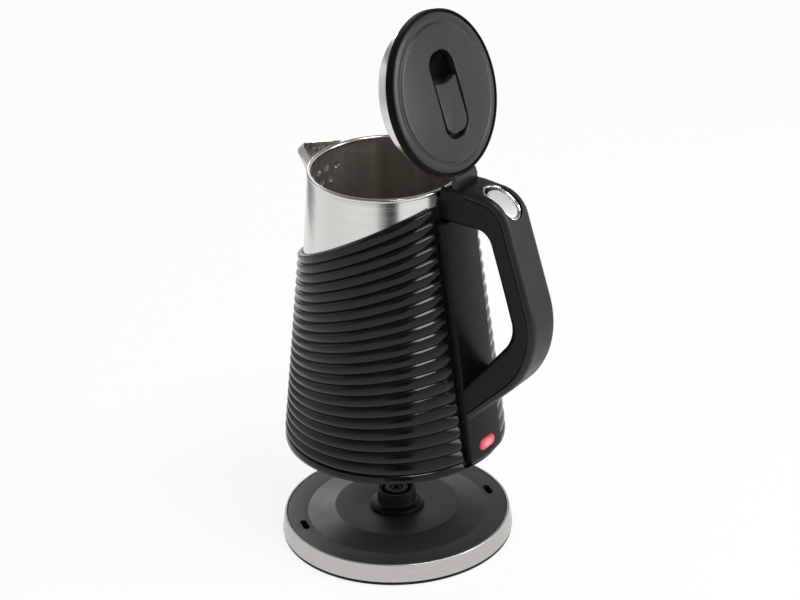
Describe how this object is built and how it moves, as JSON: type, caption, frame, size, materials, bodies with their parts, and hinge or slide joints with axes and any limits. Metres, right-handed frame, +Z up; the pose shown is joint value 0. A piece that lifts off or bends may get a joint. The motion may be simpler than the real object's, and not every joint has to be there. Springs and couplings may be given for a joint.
{
  "type": "electric kettle",
  "caption": "Tapered steel kettle with a fanned ribbed black shell, loop handle and hinged lid, lifted above its round power base.",
  "frame": {"origin": "on the upright axis of pot and base, in the plane that the rubber foot of the base stands on", "axes": "+X towards the handle, -X towards the spout, +Z up"},
  "size_m": [0.203, 0.16, 0.392],
  "materials": {
    "brushed_pot_steel": "brushed stainless steel, bright rolled rim",
    "bright_steel": "bright pressed stainless steel",
    "base_steel": "stainless steel brushed round the ring",
    "gloss_black": "gloss black moulded plastic",
    "satin_black": "satin black moulded plastic",
    "satin_charcoal": "satin charcoal moulded plastic",
    "lid_grey": "fine matte charcoal plastic",
    "chrome_trim": "bright chromed trim",
    "silver_paint": "silver painted button",
    "red_lens": "red translucent cap",
    "aluminium": "plain aluminium",
    "element_sheath": "heat-darkened metal sheath",
    "control_white": "off-white heat-resistant plastic",
    "contact_brass": "plain brass",
    "silicone": "translucent grey silicone",
    "black_rubber": "black rubber",
    "lamp_glass": "clear lamp"
  },
  "bodies": {
    "kettle": {"inner_pot": "brushed_pot_steel", "spout": "bright_steel", "outer_shell": "gloss_black", "heat_spreader": "aluminium", "heating_element": "element_sheath", "control_unit": "control_white", "kettle_socket": "satin_black", "socket_contacts": "contact_brass", "bottom_cover": "satin_black", "handle_spine": "satin_charcoal", "handle_cover": "satin_charcoal", "handle_frame": "satin_black", "hinge_pin": "bright_steel", "button_bezel": "chrome_trim", "steam_switch": "control_white", "bimetal_disc": "contact_brass", "indicator_lamp": "lamp_glass", "steam_elbow": "silicone", "steam_tube": "silicone"},
    "lid": {"lid_body": "satin_black", "lid_cover": "lid_grey", "lid_plate": "bright_steel", "lid_seal": "silicone"},
    "lid_catch": {"lid_catch": "satin_black"},
    "release_button": {"release_button": "silver_paint"},
    "power_switch": {"power_switch": "red_lens"},
    "turret": {"turret": "satin_black"},
    "base": {"base_ring": "base_steel", "base_cover": "satin_black", "base_plate": "satin_black", "foot_ring": "black_rubber", "cord_inlet": "black_rubber"}
  },
  "joints": [
    {"name": "lid_hinge", "type": "hinge", "parent": "kettle", "child": "lid", "pos_m": [0.0632, 0, 0.2782], "axis": [0, 1, 0], "range_deg": [-73, 0], "stiffness_Nm_per_rad": 0.04, "springref_deg": 51.57},
    {"name": "lid_catch_slide", "type": "slide", "parent": "lid", "child": "lid_catch", "axis": [0.2924, 0, -0.9563], "range_m": [0, 0.003], "stiffness_N_per_m": 300, "springref_m": -0.002},
    {"name": "release_button_press", "type": "slide", "parent": "kettle", "child": "release_button", "axis": [-0.5446, 0, -0.8387], "range_m": [0, 0.0025], "stiffness_N_per_m": 600, "springref_m": -0.001},
    {"name": "power_switch_rock", "type": "hinge", "parent": "kettle", "child": "power_switch", "pos_m": [0.07285, 0, 0.0908], "axis": [0, 1, 0], "range_deg": [-5, 5]},
    {"name": "base_lift", "type": "slide", "parent": "kettle", "child": "turret", "axis": [0, 0, 1], "range_m": [-0.1, 0.061]},
    {"name": "base_turn", "type": "hinge", "parent": "turret", "child": "base", "pos_m": [0, 0, 0.019], "axis": [0, 0, 1], "continuous": true}
  ]
}
